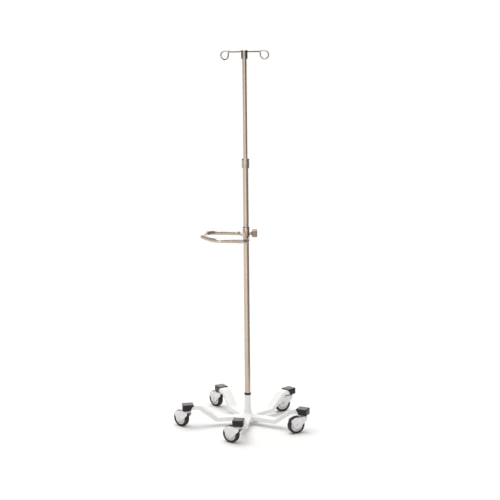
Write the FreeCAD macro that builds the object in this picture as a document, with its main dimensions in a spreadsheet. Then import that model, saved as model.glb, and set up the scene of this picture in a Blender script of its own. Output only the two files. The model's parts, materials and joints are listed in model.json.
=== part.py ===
import FreeCAD, Part
import math
import os

import Sketcher

# A mobile infusion pole: two pigtail hooks on a telescopic stainless mast, a hand loop clamped
# round the pole, and a low five-legged base on swivel castors. Millimetres, +Z up, origin on the
# pole's axis at floor level, knob towards +X and hand loop towards -X.

DOC = FreeCAD.newDocument("InfusionPole")
LEGS = 5
BRAKED = (2, 3)
HEADINGS = (204, 201, 131, 139, 146)

SIZES = {
    # castors and legs
    "wheel_radius": 37.5,
    "tyre_bore": 27.5,
    "tyre_width": 23,
    "trail": 36,
    "axle_radius": 4,
    "swivel_pin": 5.5,
    "swivel_radius": 272,
    "crown_low": 70.4,
    "crown_high": 73.9,
    "fork_width": 33,
    "fork_gap": 28,
    "fork_seat": 18,
    "ear_place": 19,
    "ear_level": 74.4,
    "ear_radius": 3.6,
    "pivot_radius": 1.5,
    "first_leg": -26.8,
    "leg_width": 40,
    "leg_height": 20,
    "leg_wall": 2,
    "leg_corner": 4,
    "leg_low": 32,
    "leg_high": 93,
    "leg_flat_end": 132,
    "leg_slope": 38,
    "leg_bend": 30,
    "cap_width": 47,
    "cap_low": 80.5,
    "cap_high": 107,
    "cap_outer": 294,
    # hub and column
    "hub_face": 34,
    "hub_low": 20,
    "hub_high": 44,
    "flare_top": 74,
    "column_foot": 26,
    "column_top": 135.5,
    "column_radius": 14,
    "ring_top": 145.5,
    # mast
    "outer_radius": 12.5,
    "outer_foot": 28,
    "outer_top": 1168,
    "inner_radius": 9.5,
    "inner_foot": 690,
    "bush_length": 35,
    "tube_wall": 1.2,
    "collar_low": 1149.5,
    "collar_high": 1190.6,
    "collar_radius": 17.5,
    "head_low": 1614.4,
    "head_high": 1652,
    "head_radius": 14.25,
    "head_yaw": 20,
    "seat_depth": 14,
    "set_screw_radius": 2.5,
    "set_screw_level": 1625.4,
    # hooks
    "wire_radius": 3,
    "wire_start": 4,
    "arm_level": 1645,
    "arm_reach": 72.5,
    "arm_bend": 6,
    "eye_level": 1631,
    "eye_radius": 17.5,
    "left_swing": 8,
    "right_swing": -20,
    "tip_swing": 22,
    "tip_length": 20,
    # handle
    "sleeve_low": 833,
    "sleeve_high": 889,
    "sleeve_radius": 15.5,
    "liner_radius": 13.4,
    "boss_radius": 9.5,
    "boss_face": 21.5,
    "pad_seat_depth": 19.4,
    "pad_back": 16.4,
    "knob_level": 864,
    "knob_radius": 17.5,
    "knob_near": 22.5,
    "knob_far": 48.5,
    "screw_end": 4.4,
    "pad_radius": 6,
    "screw_radius": 4,
    "loop_level": 846.4,
    "loop_half_width": 110,
    "loop_heel": 10,
    "loop_corner": 157,
    "loop_reach": 199.5,
    "loop_yaw": 9,
    "loop_tilt": 3,
    "loop_tube": 9,
    "loop_wall": 1.5,
    # clearances
    "running": 0.06,
}


def make_sheet():
    """Write the driving dimensions, one named cell each."""
    sheet = DOC.addObject("Spreadsheet::Sheet", "Sizes")
    for row, (name, size) in enumerate(SIZES.items(), start=1):
        sheet.set(f"A{row}", name)
        sheet.set(f"B{row}", str(size))
        sheet.setAlias(f"B{row}", name)
    DOC.recompute()
    return sheet


SHEET = make_sheet()
NODES = []


def named(formula):
    """Put the sheet's name before each of its aliases in a formula."""
    words = []
    word = ""
    for letter in str(formula) + " ":
        if letter.isalnum() or letter == "_":
            word += letter
            continue
        words.append(f"Sizes.{word}" if word in SIZES else word)
        words.append(letter)
        word = ""
    return "".join(words).strip()


def value(formula):
    return float(SHEET.evalExpression(named(formula)))


def bind(thing, **formulas):
    """Bind properties to formulas; a double underscore in a name stands for a dot."""
    for name, formula in formulas.items():
        thing.setExpression(name.replace("__", "."), named(formula))


def new_body(name):
    body = DOC.addObject("PartDesign::Body", name)
    body.Label = name
    NODES.append(body)
    return body


def base_plane(body, role):
    return next(f for f in body.Origin.OriginFeatures if f.Role == role)


def new_sketch(body, name, role, offset="0"):
    sketch = body.newObject("Sketcher::SketchObject", f"{body.Name}_{name}")
    sketch.AttachmentSupport = [(base_plane(body, role), "")]
    sketch.MapMode = "FlatFace"
    bind(sketch, AttachmentOffset__Base__z=offset)
    return sketch


def fix_point(sketch, geometry, end, x, y):
    """Tie a point's two coordinates to formulas."""
    for kind, formula in (("DistanceX", x), ("DistanceY", y)):
        row = sketch.addConstraint(
            Sketcher.Constraint(kind, -1, 1, geometry, end, value(formula))
        )
        bind(sketch, **{f"Constraints[{row}]": formula})


def corner_arc(before, corner, after, radius):
    """The arc of this radius that is tangent to both sides of a corner."""
    to_before = (before - corner).normalize()
    to_after = (after - corner).normalize()
    half = to_before.getAngle(to_after) / 2
    start = corner + to_before * (radius / math.tan(half))
    finish = corner + to_after * (radius / math.tan(half))
    bisector = (to_before + to_after).normalize()
    middle = corner + bisector * (radius / math.sin(half) - radius)
    return start, middle, finish


def draw(sketch, corners, closed=True):
    """Draw straight sides through corners (x, y) or, rounded, (x, y, radius), all bound to formulas."""
    count = len(corners)
    points = [FreeCAD.Vector(value(c[0]), value(c[1]), 0) for c in corners]
    rounds = [c[2] if len(c) > 2 else None for c in corners]
    starts = list(points)
    ends = list(points)
    middles = [None] * count
    for i, radius in enumerate(rounds):
        if radius:
            arc = corner_arc(points[i - 1], points[i], points[(i + 1) % count], value(radius))
            ends[i], middles[i], starts[i] = arc
    sides = count if closed else count - 1
    lines = []
    for i in range(sides):
        side = Part.LineSegment(starts[i], ends[(i + 1) % count])
        lines.append(sketch.addGeometry(side, False))
    for i in range(count):
        if not closed and i == count - 1:
            fix_point(sketch, lines[i - 1], 2, *corners[i][:2])
        elif not closed and i == 0:
            fix_point(sketch, lines[0], 1, *corners[0][:2])
        elif rounds[i]:
            arc = Part.Arc(ends[i], middles[i], starts[i])
            round_corner(sketch, lines[i - 1], lines[i], arc, points[i], corners[i])
        else:
            sketch.addConstraint(Sketcher.Constraint("Coincident", lines[i - 1], 2, lines[i], 1))
            fix_point(sketch, lines[i], 1, *corners[i][:2])


def round_corner(sketch, before, after, arc, point, corner):
    """Join two sides by a tangent arc; the sides meet, produced, at the bound corner point."""
    bend = sketch.addGeometry(arc, False)
    mark = sketch.addGeometry(Part.Point(point), True)
    join = sketch.getPoint(before, 2)
    near = min((1, 2), key=lambda end: sketch.getPoint(bend, end).distanceToPoint(join))
    sketch.addConstraint(Sketcher.Constraint("Tangent", before, 2, bend, near))
    sketch.addConstraint(Sketcher.Constraint("Tangent", after, 1, bend, 3 - near))
    for side in (before, after):
        sketch.addConstraint(Sketcher.Constraint("PointOnObject", mark, 1, side))
    fix_point(sketch, mark, 1, *corner[:2])
    row = sketch.addConstraint(Sketcher.Constraint("Radius", bend, value(corner[2])))
    bind(sketch, **{f"Constraints[{row}]": corner[2]})


def slab(body, name, kind, role, corners, width, offset="0"):
    """A Pad or Pocket of a flat outline, thickened evenly to both sides of its plane."""
    sketch = new_sketch(body, f"{name}_outline", role, offset)
    draw(sketch, corners)
    feature = body.newObject(f"PartDesign::{kind}", f"{body.Name}_{name}")
    feature.Profile = sketch
    feature.Midplane = True
    bind(feature, Length=width)
    sketch.Visibility = False
    return feature


def turned(body, corners, role="XZ_Plane", axis="V_Axis"):
    """A solid of revolution from a closed outline."""
    sketch = new_sketch(body, "profile", role)
    draw(sketch, corners)
    lathe = body.newObject("PartDesign::Revolution", f"{body.Name}_turned")
    lathe.Profile = sketch
    lathe.ReferenceAxis = (sketch, [axis])
    lathe.Angle = 360
    sketch.Visibility = False
    return lathe


def tube_corners(bore, outside, low, high, chamfer="0.3"):
    """The half section of a plain tube with chamfered outer edges."""
    return [
        (bore, low),
        (f"{outside} - {chamfer}", low),
        (outside, f"{low} + {chamfer}"),
        (outside, f"{high} - {chamfer}"),
        (f"{outside} - {chamfer}", high),
        (bore, high),
    ]


def bind_start(solid, x, y, z):
    """Bind the corner or axis end that an attached primitive starts from."""
    bind(solid, AttachmentOffset__Base__x=x)
    bind(solid, AttachmentOffset__Base__y=y)
    bind(solid, AttachmentOffset__Base__z=z)


def rod(body, name, kind, radius, length, x="0", y="0", z="0", along="Z"):
    """Add or take away a cylinder whose axis starts at x, y, z and runs along X, Y or Z."""
    cylinder = body.newObject(f"PartDesign::{kind}Cylinder", f"{body.Name}_{name}")
    cylinder.AttachmentSupport = [(base_plane(body, "XY_Plane"), "")]
    cylinder.MapMode = "FlatFace"
    turn = {"X": (0, 90, 0), "Y": (0, 0, -90), "Z": (0, 0, 0)}[along]
    cylinder.AttachmentOffset = FreeCAD.Placement(FreeCAD.Vector(), FreeCAD.Rotation(*turn))
    bind(cylinder, Radius=radius, Height=length)
    bind_start(cylinder, x, y, z)
    return cylinder


def block(body, name, kind, x, y, z):
    """Add or take away a box given by its (low, high) formulas along each axis."""
    box = body.newObject(f"PartDesign::{kind}Box", f"{body.Name}_{name}")
    box.AttachmentSupport = [(base_plane(body, "XY_Plane"), "")]
    box.MapMode = "FlatFace"
    for side, (low, high) in (("Length", x), ("Width", y), ("Height", z)):
        bind(box, **{side: f"({high}) - ({low})"})
    bind_start(box, x[0], y[0], z[0])
    return box


def soften(body, name, radius, wanted):
    """Round the edges of the body's last feature that wanted() picks."""
    DOC.recompute()
    feature = body.Tip
    edges = [f"Edge{i}" for i, edge in enumerate(feature.Shape.Edges, start=1) if wanted(edge)]
    fillet = body.newObject("PartDesign::Fillet", f"{body.Name}_{name}")
    fillet.Base = (feature, edges)
    bind(fillet, Radius=radius)
    return fillet


def upright(edge):
    """Whether an edge is a straight vertical line."""
    ends = [vertex.Point for vertex in edge.Vertexes]
    return len(ends) == 2 and math.hypot(ends[0].x - ends[1].x, ends[0].y - ends[1].y) < 0.01


def leg_angle(number):
    return f"(first_leg + {number} * {360 // LEGS})"


def stand_on_leg(body, number, heading=None, reach="swivel_radius", height="0"):
    """Place a body at a leg's swivel axis, turned to the leg's or its own heading."""
    angle = leg_angle(number)
    bind(body, Placement__Base__x=f"({reach}) * cos({angle})")
    bind(body, Placement__Base__y=f"({reach}) * sin({angle})")
    bind(body, Placement__Base__z=height, Placement__Rotation__Angle=heading or angle)


def make_base_hub():
    body = new_body("base_hub")
    block_top = body.newObject("PartDesign::AdditivePrism", "base_hub_block")
    block_top.Polygon = LEGS
    block_top.AttachmentSupport = [(base_plane(body, "XY_Plane"), "")]
    block_top.MapMode = "FlatFace"
    bind(block_top, Circumradius=f"hub_face / cos({180 // LEGS})", Height="hub_high - hub_low")
    bind(block_top, AttachmentOffset__Base__z="hub_low")
    soften(body, "edges", "4", upright)
    sketch = new_sketch(body, "flare_outline", "XZ_Plane")
    flare = [
        ("5", "hub_high - 2"),
        ("hub_face - 2", "hub_high - 2"),
        ("hub_face - 3", "hub_high + 1.5", "3"),
        ("column_radius + 2.2", "hub_high + 7", "12"),
        ("column_radius + 1.6", "flare_top"),
        ("5", "flare_top"),
    ]
    draw(sketch, flare)
    lathe = body.newObject("PartDesign::Revolution", "base_hub_flare")
    lathe.Profile = sketch
    lathe.ReferenceAxis = (sketch, ["V_Axis"])
    lathe.Angle = 360
    rod(body, "socket", "Subtractive", "column_radius + 0.05", "100", z="column_foot")
    rod(body, "bolt_hole", "Subtractive", "5.3", "60", z="hub_low - 10")
    bind(body, Placement__Rotation__Angle=f"first_leg + {180 // LEGS}")


def make_base_plug():
    body = new_body("base_plug")
    outside = "outer_radius - tube_wall - 0.02"
    turned(body, tube_corners("5.05", outside, "outer_foot + 2", "outer_foot + 22"))


def make_base_bolt():
    """A flanged bolt from below, up into the plug in the pole's foot."""
    body = new_body("base_bolt")
    shank = [
        ("0", "hub_low - 1.8"),
        ("11", "hub_low - 1.8"),
        ("11", "hub_low"),
        ("5", "hub_low"),
        ("5", "outer_foot + 18"),
        ("0", "outer_foot + 18"),
    ]
    turned(body, shank)
    head = body.newObject("PartDesign::AdditivePrism", "base_bolt_head")
    head.AttachmentSupport = [(base_plane(body, "XY_Plane"), "")]
    head.MapMode = "FlatFace"
    bind(head, Circumradius="9.2", Height="6.2", AttachmentOffset__Base__z="hub_low - 7.8")


def make_column_tube():
    body = new_body("column_tube")
    turned(body, tube_corners("outer_radius + 0.05", "column_radius", "column_foot", "column_top"))


def make_socket_ring():
    body = new_body("socket_ring")
    corners = tube_corners("outer_radius + 0.05", "column_radius + 0.8", "column_top", "ring_top", "1.5")
    turned(body, corners)


def make_outer_tube():
    body = new_body("outer_tube")
    turned(body, tube_corners("outer_radius - tube_wall", "outer_radius", "outer_foot", "outer_top"))


def make_tube_ferrule():
    """The ring on the outer tube's top that the twist collar screws on."""
    body = new_body("tube_ferrule")
    turned(body, tube_corners("outer_radius + 0.02", "14.4", "outer_top - 15", "outer_top", "0.8"))


def make_clamping_collet():
    body = new_body("clamping_collet")
    bore = "inner_radius + running"
    corners = [
        (bore, "outer_top + 0.2"),
        ("12.2", "outer_top + 0.2"),
        ("12.2", "collar_high - 5.2"),
        ("11.4", "collar_high - 4.4"),
        ("11.4", "collar_high + 1.2"),
        ("10.9", "collar_high + 1.7"),
        (bore, "collar_high + 1.7"),
    ]
    turned(body, corners)
    low = "outer_top + 5"
    block(body, "slot_x", "Subtractive", ("-15", "15"), ("-0.75", "0.75"), (low, "collar_high + 5"))
    block(body, "slot_y", "Subtractive", ("-0.75", "0.75"), ("-15", "15"), (low, "collar_high + 5"))


def make_height_collar():
    """The twist collar: turned down its thread, it closes the collet on the inner tube."""
    body = new_body("height_collar")
    corners = [
        ("outer_radius + 0.35", "collar_low"),
        ("collar_radius - 1.2", "collar_low"),
        ("collar_radius", "collar_low + 1.2"),
        ("collar_radius", "collar_high - 1.6"),
        ("collar_radius - 1.6", "collar_high"),
        ("11.8", "collar_high"),
        ("11.8", "collar_high - 4"),
        ("12.6", "collar_high - 4.8"),
        ("12.6", "outer_top + 0.6"),
        ("14.75", "outer_top + 0.6"),
        ("14.75", "collar_low + 2"),
        ("outer_radius + 0.35", "collar_low + 2"),
    ]
    turned(body, corners)


def make_guide_bush():
    body = new_body("guide_bush")
    outside = "outer_radius - tube_wall - running"
    low = "inner_foot + 0.4"
    high = "inner_foot + bush_length"
    turned(body, tube_corners("inner_radius + running", outside, low, high, "0.6"))


def make_inner_tube():
    body = new_body("inner_tube")
    top = "head_high - seat_depth"
    turned(body, tube_corners("inner_radius - tube_wall", "inner_radius", "inner_foot", top))


def make_tube_plug():
    """The plug in the inner tube's foot; its flange holds the guide bush on."""
    body = new_body("tube_plug")
    spigot = "inner_radius - tube_wall - 0.02"
    corners = [
        ("0", "inner_foot - 4"),
        ("10.4", "inner_foot - 4"),
        ("10.9", "inner_foot - 3.5"),
        ("10.9", "inner_foot"),
        (spigot, "inner_foot"),
        (spigot, "inner_foot + 20"),
        ("0", "inner_foot + 20"),
    ]
    turned(body, corners)


def make_hook_head():
    body = new_body("hook_head")
    seat = "head_high - seat_depth"
    corners = [
        ("inner_radius + 0.02", "head_low"),
        ("head_radius - 0.8", "head_low"),
        ("head_radius", "head_low + 0.8"),
        ("head_radius", "head_high", "3"),
        ("0", "head_high"),
        ("0", seat),
        ("inner_radius + 0.02", seat),
    ]
    turned(body, corners)
    hole = "wire_radius + 0.02"
    for side, start in (("left", "-20"), ("right", "wire_start")):
        rod(body, f"{side}_hole", "Subtractive", hole, "16", x=start, z="arm_level", along="X")
    screw_hole = "set_screw_radius + 0.02"
    rod(body, "screw_hole", "Subtractive", screw_hole, "10", y="8", z="set_screw_level", along="Y")
    bind(body, Placement__Rotation__Angle="head_yaw")


def make_head_set_screw():
    body = new_body("head_set_screw")
    start = "inner_radius + 0.05"
    length = f"head_radius - ({start}) - 0.3"
    rod(body, "shank", "Additive", "set_screw_radius", length, y=start, z="set_screw_level", along="Y")
    bind(body, Placement__Rotation__Angle="head_yaw")


def make_hook(name, side, swing):
    """A bent-wire pigtail hook: arm, bend down, half an eye, then a swung arc and a straight tip."""
    level = value("arm_level")
    reach = value("arm_reach")
    bend = value("arm_bend")
    radius = value("eye_radius")
    middle = value("eye_level")
    diagonal = math.sqrt(0.5)
    up = FreeCAD.Vector(0, 0, 1)
    outward = FreeCAD.Vector(side, 0, 0)
    eye_way = swung(outward, value(swing))
    tip_way = swung(eye_way * -1, -value("tip_swing"))
    start = FreeCAD.Vector(side * value("wire_start"), 0, level)
    bend_from = outward * (reach - bend) + up * level
    bend_centre = bend_from - up * bend
    bend_middle = bend_centre + (outward + up) * (bend * diagonal)
    bend_to = bend_centre + outward * bend
    eye_start = outward * reach + up * middle
    eye_bottom = eye_start + (eye_way - up) * radius
    eye_outer = eye_start + eye_way * (2 * radius)
    tip_centre = eye_outer + tip_way * radius
    tip_middle = tip_centre + (up - tip_way) * (radius * diagonal)
    tip_top = tip_centre + up * radius
    path = Part.Wire(
        [
            Part.LineSegment(start, bend_from).toShape(),
            Part.Arc(bend_from, bend_middle, bend_to).toShape(),
            Part.LineSegment(bend_to, eye_start).toShape(),
            Part.Arc(eye_start, eye_bottom, eye_outer).toShape(),
            Part.Arc(eye_outer, tip_middle, tip_top).toShape(),
            Part.LineSegment(tip_top, tip_top + tip_way * value("tip_length")).toShape(),
        ]
    )
    section = Part.Wire(Part.Circle(start, outward, value("wire_radius")).toShape())
    wire = path.makePipeShell([section], True, True)
    check_volume(name, wire, path.Length * math.pi * value("wire_radius") ** 2)
    hook = DOC.addObject("Part::Feature", name)
    hook.Label = name
    hook.Shape = wire
    hook.Placement = FreeCAD.Placement(FreeCAD.Vector(), FreeCAD.Rotation(value("head_yaw"), 0, 0))
    NODES.append(hook)


def swung(way, degrees):
    """A horizontal direction turned about the vertical."""
    return FreeCAD.Rotation(degrees, 0, 0).multVec(way)


def check_volume(name, shape, expected):
    if abs(shape.Volume / expected - 1) > 0.02:
        raise ValueError(f"{name}: volume {shape.Volume:.0f}, expected {expected:.0f}")


def make_handle_liner():
    """The split plastic liner that slides on the pole; the sleeve turns round it between its lips."""
    body = new_body("handle_liner")
    corners = [
        ("outer_radius + running", "sleeve_low - 1.8"),
        ("sleeve_radius - 0.6", "sleeve_low - 1.8"),
        ("sleeve_radius - 0.6", "sleeve_low - 0.3"),
        ("liner_radius", "sleeve_low - 0.3"),
        ("liner_radius", "sleeve_high + 0.3"),
        ("sleeve_radius - 0.6", "sleeve_high + 0.3"),
        ("sleeve_radius - 0.6", "sleeve_high + 1.8"),
        ("outer_radius + running", "sleeve_high + 1.8"),
    ]
    turned(body, corners)


def make_handle_sleeve():
    body = new_body("handle_sleeve")
    bore = "liner_radius + running"
    turned(body, tube_corners(bore, "sleeve_radius", "sleeve_low", "sleeve_high", "0.8"))
    start = "liner_radius + 0.4"
    length = f"boss_face - ({start})"
    rod(body, "boss", "Additive", "boss_radius", length, x=start, z="knob_level", along="X")
    rod(body, "bore", "Subtractive", bore, "80", z="sleeve_low - 10")
    seat = "pad_radius + running"
    rod(body, "pad_seat", "Subtractive", seat, "pad_seat_depth", z="knob_level", along="X")
    hole = "screw_radius + running"
    rod(body, "screw_hole", "Subtractive", hole, "30", z="knob_level", along="X")


def make_pressure_pad():
    body = new_body("pressure_pad")
    rod(body, "disc", "Additive", "pad_radius", "pad_back - 10", x="10", z="knob_level", along="X")
    rod(body, "hollow", "Subtractive", "liner_radius + 0.05", "40", z="knob_level - 20")


def make_clamp_screw():
    body = new_body("clamp_screw")
    start = "pad_back + 0.1"
    length = f"knob_far - screw_end - 0.1 - ({start})"
    rod(body, "shank", "Additive", "screw_radius", length, x=start, z="knob_level", along="X")


def make_clamp_knob():
    """A turned metal knob with a waisted neck and a shallow dish in its face."""
    body = new_body("clamp_knob")
    bore = "screw_radius + 0.02"
    corners = [
        ("knob_near", bore),
        ("knob_near", "10"),
        ("knob_near + 3", "10"),
        ("knob_near + 4", "knob_radius", "2"),
        ("knob_far", "knob_radius", "2.5"),
        ("knob_far", "knob_radius - 5"),
        ("knob_far - 1", "knob_radius - 6.5"),
        ("knob_far - 1", "0"),
        ("knob_far - screw_end", "0"),
        ("knob_far - screw_end", bore),
    ]
    turned(body, corners, axis="H_Axis")
    bind(body, Placement__Base__z="knob_level")


def make_handle_loop():
    """A closed hand loop of round tube, tilted up a little, coped onto the sleeve front and back."""
    body = new_body("handle_loop")
    path = new_sketch(body, "path", "XY_Plane")
    corners = [
        ("0", "-12"),
        ("-loop_heel", "-loop_half_width", "25"),
        ("-loop_corner", "-loop_half_width", "60"),
        ("-loop_reach", "0", "75"),
        ("-loop_corner", "loop_half_width", "60"),
        ("-loop_heel", "loop_half_width", "25"),
        ("0", "12"),
    ]
    draw(path, corners, closed=False)
    section = new_sketch(body, "section", "XZ_Plane", "12")
    for radius in ("loop_tube", "loop_tube - loop_wall"):
        circle = Part.Circle(FreeCAD.Vector(), FreeCAD.Vector(0, 0, 1), value(radius))
        ring = section.addGeometry(circle, False)
        section.addConstraint(Sketcher.Constraint("Coincident", ring, 3, -1, 1))
        row = section.addConstraint(Sketcher.Constraint("Radius", ring, value(radius)))
        bind(section, **{f"Constraints[{row}]": radius})
    DOC.recompute()
    pipe = body.newObject("PartDesign::AdditivePipe", "handle_loop_pipe")
    pipe.Profile = section
    pipe.Spine = (path, [f"Edge{i}" for i in range(1, len(path.Shape.Edges) + 1)])
    DOC.recompute()
    length = path.Shape.Length
    area = math.pi * (value("loop_tube") ** 2 - value("loop_tube - loop_wall") ** 2)
    check_volume("handle_loop", pipe.Shape, length * area)
    across = "sleeve_radius + 0.01"
    cope = rod(body, "cope", "Subtractive", across, "80", x="40 * sin(loop_tilt)", z="-40")
    offset = cope.AttachmentOffset.Base
    cope.AttachmentOffset = FreeCAD.Placement(offset, FreeCAD.Rotation(0, -value("loop_tilt"), 0))
    turn = FreeCAD.Rotation(value("loop_yaw"), value("loop_tilt"), 0)
    body.Placement = FreeCAD.Placement(FreeCAD.Vector(0, 0, value("loop_level")), turn)


def make_leg(number):
    """A bent rectangular tube: flat from the hub, an easy rise, then level under the end cap."""
    body = new_body(f"leg_{number + 1}")
    path = new_sketch(body, "path", "XZ_Plane")
    first_bend = "(leg_flat_end + leg_bend * tan(leg_slope / 2))"
    corners = [
        ("hub_face + 0.01", "leg_low"),
        (first_bend, "leg_low", "leg_bend"),
        (f"{first_bend} + (leg_high - leg_low) / tan(leg_slope)", "leg_high", "leg_bend"),
        ("cap_outer - 8", "leg_high"),
    ]
    draw(path, corners, closed=False)
    section = new_sketch(body, "section", "YZ_Plane", "hub_face + 0.01")
    for inset, radius in (("0", "leg_corner"), ("leg_wall", "leg_corner - leg_wall + 0.2")):
        half = f"leg_width / 2 - {inset}"
        low = f"leg_low - leg_height / 2 + {inset}"
        high = f"leg_low + leg_height / 2 - {inset}"
        sides = ((f"-({half})", low), (half, low), (half, high), (f"-({half})", high))
        draw(section, [(*side, radius) for side in sides])
    DOC.recompute()
    pipe = body.newObject("PartDesign::AdditivePipe", f"{body.Name}_pipe")
    pipe.Profile = section
    pipe.Spine = (path, [f"Edge{i}" for i in range(1, len(path.Shape.Edges) + 1)])
    low = "leg_high - leg_height / 2 - 6"
    depth = "leg_height / 2 + 6"
    rod(body, "pin_hole", "Subtractive", "swivel_pin + 0.1", depth, x="swivel_radius", z=low)
    bind(body, Placement__Rotation__Angle=leg_angle(number))


def make_end_cap(number):
    """A moulded cap over the leg's end, with a tongue along its top."""
    body = new_body(f"end_cap_{number + 1}")
    plan = [
        ("cap_outer - 50", "-cap_width / 2", "5"),
        ("cap_outer", "-cap_width / 2", "8"),
        ("cap_outer", "cap_width / 2", "8"),
        ("cap_outer - 50", "cap_width / 2", "5"),
    ]
    middle = "(cap_low + cap_high) / 2"
    slab(body, "shell", "Pad", "XY_Plane", plan, "cap_high - cap_low", middle)
    high = value("cap_high")
    soften(body, "top", "4", lambda edge: edge.BoundBox.ZMin > high - 0.01)
    undercut = [
        ("cap_outer - 60", "cap_low - 5"),
        ("cap_outer - 36", "cap_low - 5"),
        ("cap_outer - 39", "leg_high - 2", "6"),
        ("cap_outer - 46", "leg_high + 8", "6"),
        ("cap_outer - 60", "leg_high + 8"),
    ]
    slab(body, "undercut", "Pocket", "XZ_Plane", undercut, "cap_width + 10")
    across = ("-leg_width / 2 - 0.1", "leg_width / 2 + 0.1")
    low = "leg_high - leg_height / 2 - 0.1"
    high = "leg_high + leg_height / 2 + 0.1"
    block(body, "pocket", "Subtractive", ("cap_outer - 90", "cap_outer - 7.8"), across, (low, high))
    rod(body, "pin_hole", "Subtractive", "swivel_pin + 0.1", "30", x="swivel_radius", z="cap_low - 10")
    bind(body, Placement__Rotation__Angle=leg_angle(number))


def make_caster_stem(number):
    """Swivel pin, fixed bearing race and the nut inside the leg."""
    body = new_body(f"caster_stem_{number + 1}")
    nut_low = "leg_high - leg_height / 2 + leg_wall + 0.05"
    corners = [
        ("0", "crown_low - 4"),
        ("7", "crown_low - 4"),
        ("7.5", "crown_low - 3.5"),
        ("7.5", "crown_low - 0.3"),
        ("swivel_pin", "crown_low - 0.3"),
        ("swivel_pin", "crown_high + 0.4"),
        ("12.5", "crown_high + 0.4"),
        ("13.5", "crown_high + 1.4"),
        ("13.5", "cap_low"),
        ("swivel_pin", "cap_low"),
        ("swivel_pin", nut_low),
        ("9", nut_low),
        ("9", f"{nut_low} + 7"),
        ("swivel_pin", f"{nut_low} + 7"),
        ("swivel_pin", "leg_high + leg_height / 2 - leg_wall - 1"),
        ("0", "leg_high + leg_height / 2 - leg_wall - 1"),
    ]
    turned(body, corners)
    stand_on_leg(body, number)


def make_caster_fork(number):
    """A pressed fork: crown plate and two fan-shaped side plates over the wheel to the axle."""
    body = new_body(f"caster_fork_{number + 1}")
    outline = [
        ("-15", "crown_high"),
        ("trail + 5", "crown_high", "14"),
        ("trail + 33", "wheel_radius + 25", "9"),
        ("trail + 24", "wheel_radius + 8", "12"),
        ("trail + 9", "wheel_radius - 13", "11"),
        ("trail - 10", "wheel_radius - 13", "12"),
        ("-15", "crown_low - 8"),
    ]
    slab(body, "plates", "Pad", "XZ_Plane", outline, "fork_width")
    soften(body, "front", "11", lambda edge: upright(edge) and edge.Vertexes[0].X < -14)
    half = "fork_gap / 2"
    block(body, "inside", "Subtractive", ("-30", "trail - 16"), (f"-{half}", half), ("0", "crown_low"))
    block(body, "behind", "Subtractive", ("trail", "trail + 60"), (f"-{half}", half), ("0", "90"))
    at_axle = {"x": "trail", "z": "wheel_radius", "along": "Y"}
    clearance = "wheel_radius + 2.2"
    rod(body, "wheel_space", "Subtractive", clearance, "fork_gap", y=f"-{half}", **at_axle)
    for side, start in (("near", "-fork_seat"), ("far", "fork_seat - 2")):
        rod(body, f"{side}_boss", "Additive", "9", "2", y=start, **at_axle)
    if number in BRAKED:
        add_brake_ears(body)
    rod(body, "pin_hole", "Subtractive", "swivel_pin + running", "40", z="crown_low - 15")
    rod(body, "axle_hole", "Subtractive", "axle_radius + 0.01", "60", y="-30", **at_axle)
    stand_on_leg(body, number, HEADINGS[number])


def add_brake_ears(body):
    """Two ears beside the crown's rear edge for the brake pedal's pivot."""
    half = "fork_gap / 2"
    rear = ("ear_place - 3.8", "30")
    above = ("crown_low - 1", "crown_high + 5")
    block(body, "pedal_space", "Subtractive", rear, (f"-{half}", half), above)
    at_ear = {"x": "ear_place", "z": "ear_level", "along": "Y"}
    length = ("ear_place - ear_radius", "ear_place + ear_radius")
    thick = "(fork_width - fork_gap) / 2"
    for side, start in (("near", "-fork_width / 2"), ("far", "fork_gap / 2")):
        rod(body, f"{side}_ear", "Additive", "ear_radius", thick, y=start, **at_ear)
        beside = (start, f"{start} + {thick}")
        block(body, f"{side}_web", "Additive", length, beside, ("crown_low - 6", "ear_level"))
    rod(body, "pivot_hole", "Subtractive", "pivot_radius + running", "60", y="-30", **at_ear)


def over_wheel(radius, polar, along="0"):
    """A point on the tangent to a circle round the axle, some way along it from the polar angle."""
    x = f"trail + ({radius}) * cos({polar}) + ({along}) * sin({polar})"
    z = f"wheel_radius + ({radius}) * sin({polar}) - ({along}) * cos({polar})"
    return x, z


def make_brake_pedal(number):
    """A curved pedal over the wheel on its own cross pin: pushed down, it bears on the tyre."""
    body = new_body(f"brake_pedal_{number + 1}")
    low = "wheel_radius + 2.1"
    high = "wheel_radius + 4.1"
    half = 26
    toe = (90 - half, "7")
    heel = (90 + half, "-1.5")
    outline = [
        over_wheel(high, *heel),
        (*over_wheel(f"({high}) / cos({half})", 90), high),
        over_wheel(high, *toe),
        over_wheel(low, *toe),
        (*over_wheel(f"({low}) / cos({half})", 90), low),
        over_wheel(low, *heel),
    ]
    slab(body, "plate", "Pad", "XZ_Plane", outline, "fork_gap - 0.8")
    at_ear = {"x": "ear_place", "z": "ear_level", "along": "Y"}
    half = "(fork_gap / 2 - 0.4)"
    rod(body, "barrel", "Additive", "2.7", f"2 * {half}", y=f"-{half}", **at_ear)
    half = "(fork_width / 2 + 0.8)"
    rod(body, "pin", "Additive", "pivot_radius", f"2 * {half}", y=f"-{half}", **at_ear)
    stand_on_leg(body, number, HEADINGS[number])


def stand_at_axle(body, number):
    """Place a body at a castor's wheel centre, its own Y along the axle."""
    angle = leg_angle(number)
    heading = HEADINGS[number]
    bind(body, Placement__Base__x=f"swivel_radius * cos({angle}) + trail * cos({heading})")
    bind(body, Placement__Base__y=f"swivel_radius * sin({angle}) + trail * sin({heading})")
    bind(body, Placement__Base__z="wheel_radius", Placement__Rotation__Angle=heading)


def mirrored(half_section):
    """Complete an outline given for one side of the wheel's middle plane."""
    other = [(corner[0], f"-({corner[1]})", *corner[2:]) for corner in reversed(half_section)]
    return half_section + other


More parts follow.
